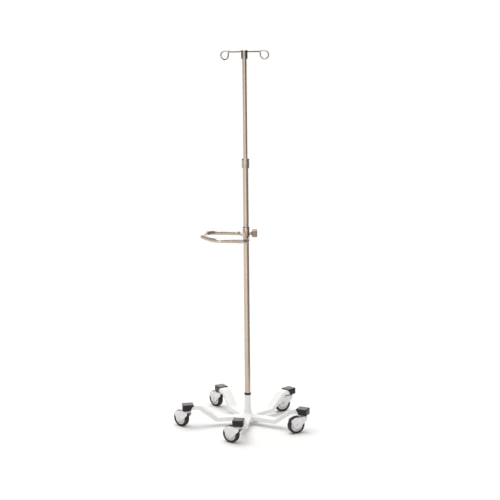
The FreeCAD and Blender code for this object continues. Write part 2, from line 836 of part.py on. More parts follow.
def make_wheel_rim(number):
    body = new_body(f"wheel_rim_{number + 1}")
    half_section = [
        ("tyre_bore", "tyre_width / 2 - 1.5"),
        ("tyre_bore - 3.5", "tyre_width / 2 - 1.5"),
        ("tyre_bore - 5", "4"),
        ("10.5", "5"),
        ("9.5", "fork_gap / 2 - 0.8"),
        ("axle_radius + running", "fork_gap / 2 - 0.8"),
    ]
    turned(body, mirrored(half_section), role="XY_Plane")
    stand_at_axle(body, number)


def make_tyre(number):
    body = new_body(f"tyre_{number + 1}")
    half_section = [
        ("wheel_radius", "tyre_width / 2", "4"),
        ("tyre_bore + 2.5", "tyre_width / 2 - 0.5"),
        ("tyre_bore + 0.02", "tyre_width / 2 - 1.5"),
    ]
    tread = list(reversed(half_section))
    turned(body, mirrored(tread), role="XY_Plane")
    stand_at_axle(body, number)


def make_axle(number):
    """Axle bolt with its head and nut outside the fork."""
    body = new_body(f"axle_{number + 1}")
    rod(body, "shank", "Additive", "axle_radius", "2 * fork_seat + 6", y="-fork_seat", along="Y")
    rod(body, "head", "Additive", "6.5", "3.5", y="-fork_seat - 3.5", along="Y")
    rod(body, "nut", "Additive", "6.8", "5", y="fork_seat", along="Y")
    stand_at_axle(body, number)


def check_document():
    """Stop if anything failed to build."""
    DOC.recompute()
    for thing in DOC.Objects:
        if {"Invalid", "Error"} & set(thing.State):
            raise RuntimeError(f"{thing.Name} failed: {thing.State} {thing.getStatusString()}")
    for node in NODES:
        shape = node.Shape
        if shape.isNull() or not shape.isValid() or len(shape.Solids) != 1:
            raise RuntimeError(f"{node.Label}: null, not valid, or not one solid")


def write_steps():
    os.makedirs("parts", exist_ok=True)
    for node in NODES:
        node.Shape.exportStep(f"parts/{node.Label}.step")


def main():
    for make in (
        make_base_hub,
        make_base_plug,
        make_base_bolt,
        make_column_tube,
        make_socket_ring,
        make_outer_tube,
        make_tube_ferrule,
        make_clamping_collet,
        make_height_collar,
        make_guide_bush,
        make_inner_tube,
        make_tube_plug,
        make_hook_head,
        make_head_set_screw,
        make_handle_liner,
        make_handle_sleeve,
        make_pressure_pad,
        make_clamp_screw,
        make_clamp_knob,
        make_handle_loop,
    ):
        make()
    make_hook("hook_left", -1, "left_swing")
    make_hook("hook_right", 1, "right_swing")
    for number in range(LEGS):
        make_leg(number)
        make_end_cap(number)
        make_caster_stem(number)
        make_caster_fork(number)
        make_wheel_rim(number)
        make_tyre(number)
        make_axle(number)
        if number in BRAKED:
            make_brake_pedal(number)
    check_document()
    write_steps()


main()
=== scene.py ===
import json
import math

import bmesh
import bpy
from mathutils import Matrix, Vector


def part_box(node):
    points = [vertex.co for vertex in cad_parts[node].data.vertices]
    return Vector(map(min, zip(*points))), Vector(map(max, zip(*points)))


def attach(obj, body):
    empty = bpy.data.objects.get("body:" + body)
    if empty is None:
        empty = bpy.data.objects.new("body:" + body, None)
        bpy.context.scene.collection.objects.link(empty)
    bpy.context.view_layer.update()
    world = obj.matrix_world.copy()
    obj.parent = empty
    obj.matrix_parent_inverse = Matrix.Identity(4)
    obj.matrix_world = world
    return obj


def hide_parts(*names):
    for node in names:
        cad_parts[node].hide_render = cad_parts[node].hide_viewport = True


bl_info = {
    "name": "Infusion Pole",
    "version": (1, 0, 0),
    "blender": (4, 5, 0),
    "location": "3D View > Sidebar > Infusion Pole",
    "description": "Builds the pieces, finishes and studio of a mobile infusion pole",
    "category": "Object",
}

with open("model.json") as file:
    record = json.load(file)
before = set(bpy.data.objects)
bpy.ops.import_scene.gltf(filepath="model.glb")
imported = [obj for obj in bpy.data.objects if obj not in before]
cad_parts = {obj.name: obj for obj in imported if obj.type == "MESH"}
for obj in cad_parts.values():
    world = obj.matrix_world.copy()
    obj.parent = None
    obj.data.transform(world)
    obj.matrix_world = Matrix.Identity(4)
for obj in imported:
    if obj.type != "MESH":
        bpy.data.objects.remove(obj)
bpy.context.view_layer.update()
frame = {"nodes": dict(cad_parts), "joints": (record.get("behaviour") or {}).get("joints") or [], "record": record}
JOINTS = {joint["name"]: joint for joint in frame["joints"]}
CASTORS = range(1, 6)
BRAKED = (3, 4)
MM = 0.001
TOUCHING = 1e-6  # metres: points nearer than this are one
WELD = 0.004 * MM  # points nearer than this are joined after a cut
PLAY = 0.05 * MM  # room between a bore and what stands in it
SMOOTH_ANGLE = 35  # degrees: gentler edges are shaded smooth
BRAKE_PIVOT = (19 * MM, 0, 74.4 * MM)  # from a castor's swivel axis at floor level
COAT_ROUGHNESS = 0.15
RELIEF_STRENGTH = 0.6


def span(node, axis):
    """A CAD node's lowest and highest place along one axis."""
    low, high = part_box(node)
    return low[axis], high[axis]


def width(node, axis=1):
    """A CAD node's size along one axis."""
    low, high = span(node, axis)
    return high - low


# --- settings


class PoleSizes(bpy.types.PropertyGroup):
    """Sizes of the mast, handle and hooks that a user would change."""

    mast_segments: bpy.props.IntProperty(
        name="Mast segments", description="Sides of the mast's round tubes", default=72, min=24
    )
    collar_grooves: bpy.props.IntProperty(
        name="Collar grooves", description="Grip grooves round the twist collar", default=24
    )
    groove_depth: bpy.props.FloatProperty(
        name="Groove depth", description="Depth of the collar's grip grooves",
        default=0.6 * MM, unit="LENGTH",
    )
    wire_radius: bpy.props.FloatProperty(
        name="Wire radius", description="Radius of the hooks' bent wire",
        default=3 * MM, unit="LENGTH",
    )
    loop_radius: bpy.props.FloatProperty(
        name="Loop tube radius", description="Radius of the hand loop's tube",
        default=9 * MM, unit="LENGTH",
    )
    knob_flutes: bpy.props.IntProperty(
        name="Knob flutes", description="Finger flutes round the clamp knob", default=18
    )


class BaseSizes(bpy.types.PropertyGroup):
    """Sizes of the legs and castors that a user would change."""

    leg_corner: bpy.props.FloatProperty(
        name="Leg corner", description="Corner radius of the legs' tube",
        default=4 * MM, unit="LENGTH",
    )
    cap_corner: bpy.props.FloatProperty(
        name="Cap corner", description="Corner radius of the end caps",
        default=7 * MM, unit="LENGTH",
    )
    fork_sheet: bpy.props.FloatProperty(
        name="Fork sheet", description="Thickness of the forks' pressed sheet",
        default=2.5 * MM, unit="LENGTH",
    )


def colour(name, red, green, blue):
    return bpy.props.FloatVectorProperty(
        name=name,
        description=f"Base colour of the {name.lower()}",
        subtype="COLOR",
        size=3,
        min=0,
        max=1,
        default=(red, green, blue),
    )


class FinishColours(bpy.types.PropertyGroup):
    """Base colours of the finishes."""

    pole_steel: colour("Pole steel", 0.60, 0.50, 0.42)
    bright_steel: colour("Bright steel", 0.54, 0.47, 0.41)
    knob_steel: colour("Knob steel", 0.30, 0.24, 0.20)
    powder: colour("White powder coat", 0.88, 0.88, 0.87)
    cap_plastic: colour("End cap plastic", 0.011, 0.009, 0.010)
    seal: colour("Seal rubber", 0.03, 0.022, 0.018)
    bush_plastic: colour("Bush plastic", 0.62, 0.61, 0.58)
    zinc: colour("Zinc plate", 0.80, 0.78, 0.79)
    rim_plastic: colour("Rim plastic", 0.80, 0.77, 0.78)
    rubber: colour("Tyre rubber", 0.013, 0.011, 0.012)


class StudioSettings(bpy.types.PropertyGroup):
    """Camera and light of the studio."""

    eye_height: bpy.props.FloatProperty(
        name="Camera height", description="Height of the camera over the floor",
        default=1.717, unit="LENGTH",
    )
    eye_distance: bpy.props.FloatProperty(
        name="Camera distance", description="Distance of the camera from the mast",
        default=5.2, unit="LENGTH",
    )
    pitch: bpy.props.FloatProperty(
        name="Pitch", description="How far the camera looks down",
        default=math.radians(10.11), subtype="ANGLE",
    )
    pan: bpy.props.FloatProperty(
        name="Pan", description="How far the camera turns to the right",
        default=math.radians(0.18), subtype="ANGLE",
    )
    roll: bpy.props.FloatProperty(
        name="Roll", description="How far the camera leans over",
        default=math.radians(-0.53), subtype="ANGLE",
    )
    lens: bpy.props.FloatProperty(
        name="Lens", description="Focal length", default=87.05, unit="CAMERA"
    )
    sky: bpy.props.FloatProperty(
        name="Sky strength", description="Strength of the soft light all round", default=0.62
    )
    overhead: bpy.props.FloatProperty(
        name="Overhead strength", description="Strength of the wide light over the pole",
        default=1.75,
    )


# --- modelling


def begin():
    """Object mode with nothing selected, ready for a new piece."""
    if bpy.context.object and bpy.context.object.mode != "OBJECT":
        bpy.ops.object.mode_set(mode="OBJECT")
    bpy.ops.object.select_all(action="DESELECT")


def activate(piece):
    """Select one piece alone, in object mode."""
    begin()
    piece.select_set(True)
    bpy.context.view_layer.objects.active = piece


def edit():
    """Edit mode with everything selected."""
    bpy.ops.object.mode_set(mode="EDIT")
    bpy.ops.mesh.select_mode(type="VERT")
    bpy.ops.mesh.select_all(action="SELECT")


def face_outwards():
    """Turn all the faces of the piece in edit mode outwards."""
    bpy.ops.mesh.select_all(action="SELECT")
    bpy.ops.mesh.normals_make_consistent(inside=False)


def pick(kind, wanted):
    """Select the faces, edges or vertices of the piece in edit mode that wanted() accepts."""
    piece = bpy.context.object
    bpy.ops.mesh.select_mode(type=kind)
    bpy.ops.mesh.select_all(action="DESELECT")
    mesh = bmesh.from_edit_mesh(piece.data)
    parts = {"VERT": mesh.verts, "EDGE": mesh.edges, "FACE": mesh.faces}[kind]
    chosen = [part for part in parts if wanted(part)]
    for part in chosen:
        part.select_set(True)
    if not chosen:
        raise RuntimeError(f"{piece.name}: nothing to select")
    mesh.select_flush_mode()
    bmesh.update_edit_mesh(piece.data)


def place(part):
    """Middle of a face, edge or vertex."""
    if isinstance(part, bmesh.types.BMFace):
        return part.calc_center_median()
    if isinstance(part, bmesh.types.BMEdge):
        return (part.verts[0].co + part.verts[1].co) / 2
    return part.co


def rise(edge):
    """How far an edge climbs."""
    return abs(edge.verts[0].co.z - edge.verts[1].co.z)


def settle(name, smooth=SMOOTH_ANGLE):
    """Leave edit mode, put the piece's place into its mesh, name it and smooth its gentle edges."""
    if bpy.context.object.mode != "OBJECT":
        bpy.ops.object.mode_set(mode="OBJECT")
    piece = bpy.context.object
    bpy.ops.object.select_all(action="DESELECT")
    piece.select_set(True)
    bpy.ops.object.transform_apply()
    bpy.ops.object.shade_smooth_by_angle(angle=math.radians(smooth))
    piece.name = name
    piece.data.name = name
    return piece


def soften(piece, radius, steps=2, angle=40):
    """Round the sharp edges with an applied Bevel."""
    activate(piece)
    bpy.ops.object.modifier_add(type="BEVEL")
    bevel = piece.modifiers[-1]
    bevel.width = radius
    bevel.segments = steps
    bevel.limit_method = "ANGLE"
    bevel.angle_limit = math.radians(angle)
    bevel.harden_normals = False
    bpy.ops.object.modifier_apply(modifier=bevel.name)
    bpy.ops.object.shade_smooth_by_angle(angle=math.radians(SMOOTH_ANGLE))


def cut(piece, cutter, operation="DIFFERENCE"):
    """Take a cutter's shape away from a piece, or join it on, with an applied Boolean."""
    activate(piece)
    bpy.ops.object.modifier_add(type="BOOLEAN")
    boolean = piece.modifiers[-1]
    boolean.operation = operation
    boolean.solver = "EXACT"
    boolean.object = cutter
    bpy.ops.object.modifier_apply(modifier=boolean.name)
    bpy.data.objects.remove(cutter)
    edit()
    bpy.ops.mesh.remove_doubles(threshold=WELD)
    bpy.ops.object.mode_set(mode="OBJECT")


def block_cutter(x, wide, z):
    """A plain block, from low to high along X and Z and centred along Y, to cut with."""
    begin()
    bpy.ops.mesh.primitive_cube_add(size=1, location=(sum(x) / 2, 0, sum(z) / 2))
    cutter = bpy.context.object
    cutter.scale = (x[1] - x[0], wide, z[1] - z[0])
    bpy.ops.object.transform_apply()
    return cutter


def turned(name, rings, segments=64, along="Z", at=(0, 0, 0), solid=False):
    """A turned piece, drawn out ring by ring; each ring is (radius, place along the axis).

    The last ring meets the first, or on a solid piece each end is filled.
    """
    begin()
    radius, reach = rings[0]
    bpy.ops.mesh.primitive_circle_add(vertices=segments, radius=radius, location=(0, 0, reach))
    bpy.ops.object.transform_apply()
    edit()
    for next_radius, next_reach in rings[1:]:
        step = (0, 0, next_reach - reach)
        bpy.ops.mesh.extrude_edges_move(TRANSFORM_OT_translate={"value": step})
        scale = next_radius / radius
        bpy.ops.transform.resize(value=(scale, scale, 1), center_override=(0, 0, 0))
        radius, reach = next_radius, next_reach
    if solid:
        for _, end in (rings[0], rings[-1]):
            pick("EDGE", lambda edge: edge.is_boundary and abs(place(edge).z - end) < TOUCHING)
            bpy.ops.mesh.edge_face_add()
    else:
        bpy.ops.mesh.select_all(action="SELECT")
        bpy.ops.mesh.remove_doubles(threshold=TOUCHING)
    face_outwards()
    bpy.ops.object.mode_set(mode="OBJECT")
    turn = {"X": Matrix.Rotation(math.pi / 2, 4, "Y"), "Y": Matrix.Rotation(-math.pi / 2, 4, "X")}
    bpy.context.object.matrix_world = Matrix.Translation(at) @ turn.get(along, Matrix.Identity(4))
    return settle(name)


def rings_from(radius, level, *steps):
    """Rings as steps in millimetres out from a radius and up from a level."""
    return [(radius + out * MM, level + up * MM) for out, up in steps]


def tube_rings(bore, outside, low, high, chamfer=0.3 * MM):
    """Closed rings of a plain tube with chamfered outer edges."""
    return [
        (bore, low),
        (outside - chamfer, low),
        (outside, low + chamfer),
        (outside, high - chamfer),
        (outside - chamfer, high),
        (bore, high),
        (bore, low),
    ]


def round_section(radius, at, heading, segments=24):
    """A ring of edges standing across the heading, the start of a bent tube."""
    begin()
    turn = Vector((0, 0, 1)).rotation_difference(heading).to_euler()
    bpy.ops.mesh.primitive_circle_add(vertices=segments, radius=radius, location=at, rotation=turn)
    bpy.ops.object.transform_apply()
    edit()


def run(step):
    """Draw the selected ring out straight."""
    bpy.ops.mesh.extrude_edges_move(TRANSFORM_OT_translate={"value": tuple(step)})


def bend(centre, axis, angle, steps):
    """Draw the selected ring out round a centre, right-handed, which the spin tool is not."""
    bpy.ops.mesh.spin(
        steps=steps, angle=-angle, center=tuple(centre), axis=tuple(axis), use_auto_merge=False
    )


def close_ends():
    """Fill every open ring, join what touches and turn the faces outwards."""
    bpy.ops.mesh.select_all(action="SELECT")
    bpy.ops.mesh.remove_doubles(threshold=TOUCHING)
    bpy.ops.mesh.select_mode(type="EDGE")
    bpy.ops.mesh.select_all(action="DESELECT")
    bpy.ops.mesh.select_non_manifold(extend=False)
    bpy.ops.mesh.edge_face_add()
    face_outwards()


def plate(name, outline, thickness):
    """A plate in the XZ plane: a vertex drawn round the outline, filled and thickened along Y."""
    begin()
    bpy.ops.mesh.primitive_plane_add(size=MM)
    edit()
    bpy.ops.mesh.merge(type="CENTER")
    bpy.ops.transform.translate(value=(outline[0][0], -thickness / 2, outline[0][1]))
    for before, after in zip(outline, outline[1:]):
        step = (after[0] - before[0], 0, after[1] - before[1])
        bpy.ops.mesh.extrude_vertices_move(TRANSFORM_OT_translate={"value": step})
    bpy.ops.mesh.select_all(action="SELECT")
    bpy.ops.mesh.edge_face_add()
    bpy.ops.mesh.select_mode(type="FACE")
    bpy.ops.mesh.select_all(action="SELECT")
    bpy.ops.mesh.extrude_region_move(TRANSFORM_OT_translate={"value": (0, thickness, 0)})
    face_outwards()
    return settle(name)


def rounded(corners, steps=6):
    """An outline (x, z) with rounded corners; a corner is (x, z) or (x, z, radius)."""
    outline = []
    for i, corner in enumerate(corners):
        here = Vector(corner[:2])
        if len(corner) < 3:
            outline.append(tuple(here))
            continue
        before = (Vector(corners[i - 1][:2]) - here).normalized()
        after = (Vector(corners[(i + 1) % len(corners)][:2]) - here).normalized()
        half = before.angle(after) / 2
        centre = here + (before + after).normalized() * (corner[2] / math.sin(half))
        start = here + before * (corner[2] / math.tan(half)) - centre
        finish = here + after * (corner[2] / math.tan(half)) - centre
        sweep = start.angle_signed(finish)
        for step in range(steps + 1):
            outline.append(tuple(centre + Matrix.Rotation(-sweep * step / steps, 2) @ start))
    return outline


def show(piece, body, slot, node):
    """Give a piece its finish and its body, and hide the CAD node that it stands for."""
    piece.data.materials.clear()
    piece.data.materials.append(FINISHES[slot])
    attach(piece, body)
    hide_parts(node)


def share_out(piece, name, place_of, body, slot, node, numbers=CASTORS):
    """Turn a finished piece into copies, each with its own mesh, at the place of each number.

    name, body and node have {} where the number goes.
    """
    for number in numbers:
        activate(piece)
        bpy.ops.object.duplicate(linked=False)
        made = bpy.context.object
        made.matrix_world = place_of(number)
        bpy.ops.object.transform_apply()
        made.name = name.format(number)
        made.data.name = made.name
        show(made, body.format(number), slot, node.format(number))
    bpy.data.objects.remove(piece)


# --- finishes


# name: shader node, its output, its sockets
PATTERNS = {
    "noise": ("ShaderNodeTexNoise", "Fac", {"detail": 4.0}),
    "cells": ("ShaderNodeTexVoronoi", "Distance", {}),
    "flakes": ("ShaderNodeTexVoronoi", "Color", {}),
}


def add_node(material, kind, **values):
    """A shader node with its sockets set; from_min stands for From Min."""
    made = material.node_tree.nodes.new(kind)
    for name, value in values.items():
        made.inputs[name.replace("_", " ").title()].default_value = value
    return made


def join(material, source, target):
    material.node_tree.links.new(source, target)


def grain(material, pattern, stretch):
    """A pattern over the piece's own coordinates, with its repeats per metre along each axis."""
    kind, output, values = PATTERNS[pattern]
    own_place = add_node(material, "ShaderNodeTexCoord")
    mapping = add_node(material, "ShaderNodeMapping", scale=stretch)
    texture = add_node(material, kind, scale=1.0, **values)
    join(material, own_place.outputs["Object"], mapping.inputs["Vector"])
    join(material, mapping.outputs["Vector"], texture.inputs["Vector"])
    return texture.outputs[output]


def shade(base, factor):
    """A colour made lighter or darker."""
    return tuple(min(1.0, part * factor) for part in base) + (1.0,)


def finish(
    name, base, metallic, roughness, cloud, fine, relief,
    contrast=0.08, coat=0.0, patterns=("noise", "noise"), ior=1.5,
):
    """A procedural finish: slow colour clouds, fine grain in the roughness, and relief.

    cloud and fine are repeats per metre along X, Y and Z; roughness is (low, high);
    relief is the height of the grain in millimetres.
    """
    material = bpy.data.materials.new(name)
    material.use_nodes = True
    shader = material.node_tree.nodes["Principled BSDF"]
    shader.inputs["Metallic"].default_value = metallic
    shader.inputs["Coat Weight"].default_value = coat
    shader.inputs["Coat Roughness"].default_value = COAT_ROUGHNESS
    shader.inputs["IOR"].default_value = ior
    ramp = add_node(material, "ShaderNodeValToRGB")
    dark, light = ramp.color_ramp.elements
    dark.position, light.position = 0.3, 0.7
    dark.color, light.color = shade(base, 1 - contrast), shade(base, 1 + contrast)
    join(material, grain(material, patterns[0], cloud), ramp.inputs["Fac"])
    join(material, ramp.outputs["Color"], shader.inputs["Base Color"])
    texture = grain(material, patterns[1], fine)
    low, high = roughness
    spread = add_node(
        material, "ShaderNodeMapRange", from_min=0.25, from_max=0.75, to_min=low, to_max=high
    )
    join(material, texture, spread.inputs["Value"])
    join(material, spread.outputs["Result"], shader.inputs["Roughness"])
    bump = add_node(material, "ShaderNodeBump", distance=relief * MM, strength=RELIEF_STRENGTH)
    join(material, texture, bump.inputs["Height"])
    join(material, bump.outputs["Normal"], shader.inputs["Normal"])
    return material


# slot: material, colour, metallic, roughness, colour clouds, fine grain, relief, contrast,
# and for some coat and patterns
FINISH_TABLE = {
    "stainless_pole": (
        "brushed_pole", "pole_steel", 1.0, (0.24, 0.38), (14, 14, 5), (2600, 2600, 40), 0.02, 0.06
    ),
    "stainless_bright": (
        "polished_steel", "bright_steel", 1.0, (0.14, 0.26), (30,) * 3, (900,) * 3, 0.01, 0.07
    ),
    "knob_metal": (
        "turned_knob", "knob_steel", 1.0, (0.22, 0.42), (60,) * 3, (3000, 200, 200), 0.03, 0.12
    ),
    "white_powder": (
        "powder_coat", "powder", 0.0, (0.26, 0.4), (9,) * 3, (1100,) * 3, 0.04, 0.015,
        0.25, ("noise", "cells"),
    ),
    "black_cap": (
        "cap_plastic", "cap_plastic", 0.0, (0.2, 0.34), (40,) * 3, (1500,) * 3, 0.03, 0.2
    ),
    "dark_seal": (
        "seal_rubber", "seal", 0.0, (0.42, 0.6), (50,) * 3, (1800, 1800, 600), 0.04, 0.2
    ),
    "bush_plastic": (
        "bush_plastic", "bush_plastic", 0.0, (0.4, 0.55), (40,) * 3, (1200,) * 3, 0.02, 0.04
    ),
    "zinc": (
        "zinc_plate", "zinc", 0.55, (0.3, 0.45), (160,) * 3, (700,) * 3, 0.02, 0.07,
        0.0, ("flakes", "noise"),
    ),
    "rim_plastic": (
        "rim_plastic", "rim_plastic", 0.0, (0.32, 0.45), (45,) * 3, (1400,) * 3, 0.02, 0.04, 0.1
    ),
    "tyre_rubber": (
        "tyre_rubber", "rubber", 0.0, (0.5, 0.72), (60,) * 3, (1300,) * 3, 0.06, 0.25
    ),
}
FINISH_IOR = {"black_cap": 1.38}


def make_finishes(colours):
    """Every finish of the pole, by the name of its material slot."""
    made = {}
    for slot, (name, colour_name, *look) in FINISH_TABLE.items():
        base = getattr(colours, colour_name)
        made[slot] = finish(name, base, *look, ior=FINISH_IOR.get(slot, 1.5))
    return made


FINISHES = {}


# --- studio


class POLE_OT_studio(bpy.types.Operator):
    """Floor, soft light and camera"""

    bl_idname = "pole.studio"
    bl_label = "Studio"

    # name, middle, width and height, turn about the vertical in degrees, glow
    CARDS = (
        ("flag_right", (0.6, -0.15, 0.79), (1.9, 1.58), -90, 0.26),
        ("flag_high_right", (0.6, -0.15, 2.1), (1.9, 1.04), -90, 0.0),
        ("flag_high_left", (-0.6, 0.2, 2.1), (1.2, 1.04), 90, 0.0),
        ("strip_front", (-0.65, -2.4, 1.3), (0.8, 2.7), 15, 1.9),
        ("glow_back", (0.0, 3.0, 1.0), (5.0, 1.8), 180, 1.7),
    )

    def execute(self, context):
        settings = context.scene.pole_studio
        begin()
        bpy.ops.mesh.primitive_plane_add(size=60, location=(0, 0, 0))
        floor = context.object
        floor.name = "studio_floor"
        paper = finish(
            "floor_paper", (0.9,) * 3, 0.0, (0.85, 0.95), (0.7,) * 3, (90,) * 3, 0.01, 0.004
        )
        floor.data.materials.append(paper)
        for name, at, size, turn, glow in self.CARDS:
            self.hang_card(name, at, size, turn, glow)
        self.light_up(context.scene, settings)
        self.set_camera(context.scene, settings)
        context.scene.view_settings.view_transform = "Standard"
        return {"FINISHED"}

    def hang_card(self, name, at, size, turn, glow):
        """A dark or a glowing card that only reflections see, to shape the steel."""
        begin()
        angles = (math.pi / 2, 0, math.radians(turn))
        bpy.ops.mesh.primitive_plane_add(size=1, location=at, rotation=angles)
        card = bpy.context.object
        card.scale = (size[0], size[1], 1)
        card.name = name
        for ray in ("camera", "diffuse", "shadow", "transmission"):
            setattr(card, f"visible_{ray}", False)
        cloth = finish(
            f"{name}_cloth", (0.05, 0.045, 0.04), 0.0, (0.9, 1.0), (5,) * 3, (300,) * 3, 0.01
        )
        shader = cloth.node_tree.nodes["Principled BSDF"]
        shader.inputs["Emission Color"].default_value = (1, 0.97, 0.93, 1)
        shader.inputs["Emission Strength"].default_value = glow
        card.data.materials.append(cloth)

    def light_up(self, scene, settings):
        world = bpy.data.worlds.new("soft_sky")
        scene.world = world
        world.use_nodes = True
        tree = world.node_tree
        sky = tree.nodes["Background"]
        sky.inputs["Color"].default_value = (1.0, 0.99, 0.97, 1.0)
        sky.inputs["Strength"].default_value = settings.sky
        backdrop = tree.nodes.new("ShaderNodeBackground")
        backdrop.inputs["Color"].default_value = (1, 1, 1, 1)
        rays = tree.nodes.new("ShaderNodeLightPath")
        mix = tree.nodes.new("ShaderNodeMixShader")
        tree.links.new(rays.outputs["Is Camera Ray"], mix.inputs["Fac"])
        tree.links.new(sky.outputs["Background"], mix.inputs[1])
        tree.links.new(backdrop.outputs["Background"], mix.inputs[2])
        tree.links.new(mix.outputs["Shader"], tree.nodes["World Output"].inputs["Surface"])
        lamp = bpy.data.lights.new("overhead", "SUN")
        lamp.energy = settings.overhead
        lamp.angle = math.radians(50)
        overhead = bpy.data.objects.new("overhead", lamp)
        overhead.rotation_euler = (math.radians(-4), math.radians(-8), 0)
        scene.collection.objects.link(overhead)

    def set_camera(self, scene, settings):
        lens = bpy.data.cameras.new("camera")
        lens.lens = settings.lens
        lens.sensor_width = 36
        lens.clip_end = 200
        camera = bpy.data.objects.new("camera", lens)
        turn = (
            Matrix.Rotation(-settings.pan, 4, "Z")
            @ Matrix.Rotation(math.pi / 2 - settings.pitch, 4, "X")
            @ Matrix.Rotation(settings.roll, 4, "Z")
        )
        eye = Matrix.Translation((0, -settings.eye_distance, settings.eye_height))
        camera.matrix_world = eye @ turn
        scene.collection.objects.link(camera)
        scene.camera = camera


# --- mast


class POLE_OT_mast(bpy.types.Operator):
    """Outer and inner tube of the telescopic mast"""

    bl_idname = "pole.mast"
    bl_label = "Mast tubes"

    def execute(self, context):
        sizes = context.scene.pole_sizes
        tubes = (("outer_mast", "outer_tube", "stand"), ("inner_mast", "inner_tube", "mast"))
        for name, node, body in tubes:
            radius = width(node) / 2
            rings = tube_rings(radius - 1.2 * MM, radius, *span(node, 2))
            piece = turned(name, rings, sizes.mast_segments)
            show(piece, body, "stainless_pole", node)
        return {"FINISHED"}


class POLE_OT_collar(bpy.types.Operator):
    """Twist collar that grips the inner tube"""

    bl_idname = "pole.collar"
    bl_label = "Twist collar"

    def execute(self, context):
        sizes = context.scene.pole_sizes
        low, high = span("height_collar", 2)
        radius = width("height_collar") / 2
        ferrule_top = span("tube_ferrule", 2)[1]
        rings = [
            (12.85 * MM, low),
            *rings_from(radius, low, (-1.6, 0), (-0.4, 0.6), (0, 1.6), (0, 5)),
            *rings_from(radius, low, (-0.9, 5.6), (-0.9, 7), (-0.3, 7.6)),
            *rings_from(radius, high, (-0.3, -10), (-0.9, -9.4), (-0.9, -8), (0, -7.4), (0, -3)),
            *rings_from(radius, high, (-0.8, -1.4), (-2.6, 0)),
            *rings_from(0, high, (11.8, 0), (11.8, -4), (12.6, -4.8)),
            *rings_from(0, ferrule_top, (12.6, 0.6), (14.75, 0.6)),
            *rings_from(0, low, (14.75, 2), (12.85, 2), (12.85, 0)),
        ]
        piece = turned("twist_collar", rings, sizes.collar_grooves * 4)
        grip = (low + 8 * MM, high - 10.4 * MM)
        step = 2 * math.pi / sizes.collar_grooves

        def in_groove(face):
            middle = place(face)
            outside = math.hypot(middle.x, middle.y) > radius - 0.8 * MM
            turn = (math.atan2(middle.y, middle.x) / step) % 1
            return outside and grip[0] < middle.z < grip[1] and turn < 0.25

        activate(piece)
        edit()
        pick("FACE", in_groove)
        bpy.ops.mesh.inset(thickness=0.25 * MM, depth=-sizes.groove_depth, use_individual=True)
        settle("twist_collar")
        show(piece, "height_collar", "stainless_bright", "height_collar")
        return {"FINISHED"}


class POLE_OT_column(bpy.types.Operator):
    """White column with its flared hub, and the seal ring on top"""

    bl_idname = "pole.column"
    bl_label = "Column and hub"

    def execute(self, context):
        self.make_column()
        self.make_ring()
        self.make_block()
        self.make_flare()
        return {"FINISHED"}

    def make_column(self):
        radius = width("column_tube") / 2
        low, high = span("column_tube", 2)
        bore = width("outer_tube") / 2 + PLAY
        piece = turned("column", tube_rings(bore, radius, low, high, 0.6 * MM), 64)
        show(piece, "stand", "white_powder", "column_tube")

    def make_ring(self):
        radius = width("socket_ring") / 2
        low, high = span("socket_ring", 2)
        bore = width("outer_tube") / 2 + PLAY
        rings = [
            (bore, low),
            *rings_from(radius, low, (-1.2, 0), (-0.3, 0.3), (0, 1.2), (0, 4.6), (-0.5, 5)),
            *rings_from(radius, low, (-0.5, 5.6), (0, 6)),
            *rings_from(radius, high, (-0.2, -2), (-0.9, -0.8)),
            (bore + 0.5 * MM, high),
            (bore, high),
            (bore, low),
        ]
        piece = turned("seal_ring", rings, 64)
        show(piece, "stand", "dark_seal", "socket_ring")

    def make_block(self):
        low, high = span("base_hub", 2)[0], 44 * MM
        half_width = 34 * MM
        swivel = Vector(JOINTS["caster_swivel_1"]["pos_m"])
        corner = math.atan2(swivel.y, swivel.x) + math.pi / 5 - math.pi / 2  # between two legs
        begin()
        bpy.ops.mesh.primitive_cylinder_add(
            vertices=5,
            radius=half_width / math.cos(math.pi / 5),
            depth=high - low,
            location=(0, 0, (low + high) / 2),
            rotation=(0, 0, corner),
        )
        bpy.ops.object.transform_apply()
        edit()
        pick("EDGE", lambda edge: rise(edge) > 5 * MM)
        bpy.ops.mesh.bevel(offset=4 * MM, segments=5, affect="EDGES")
        pick("EDGE", lambda edge: abs(place(edge).z - high) < MM and edge.calc_face_angle() > 1)
        bpy.ops.mesh.bevel(offset=2.2 * MM, segments=4, affect="EDGES")
        pick("FACE", lambda f: f.normal.z < -0.9)
        bpy.ops.mesh.inset(thickness=3 * MM, depth=-0.8 * MM)
        block = settle("hub_block")
        show(block, "stand", "white_powder", "base_hub")

    def make_flare(self):
        top, foot = 74 * MM, 43 * MM
        radius = width("column_tube") / 2
        profile = rounded(
            [
                (radius + PLAY, foot),
                (31 * MM, foot),
                (29 * MM, foot + 2.8 * MM, 2.4 * MM),
                (radius + 2.4 * MM, foot + 8 * MM, 13 * MM),
                (radius + 1.6 * MM, top, 1.2 * MM),
                (radius + PLAY, top),
            ],
            8,
        )
        piece = turned("hub_flare", profile + profile[:1], 64)
        show(piece, "stand", "white_powder", "base_hub")


# --- hooks


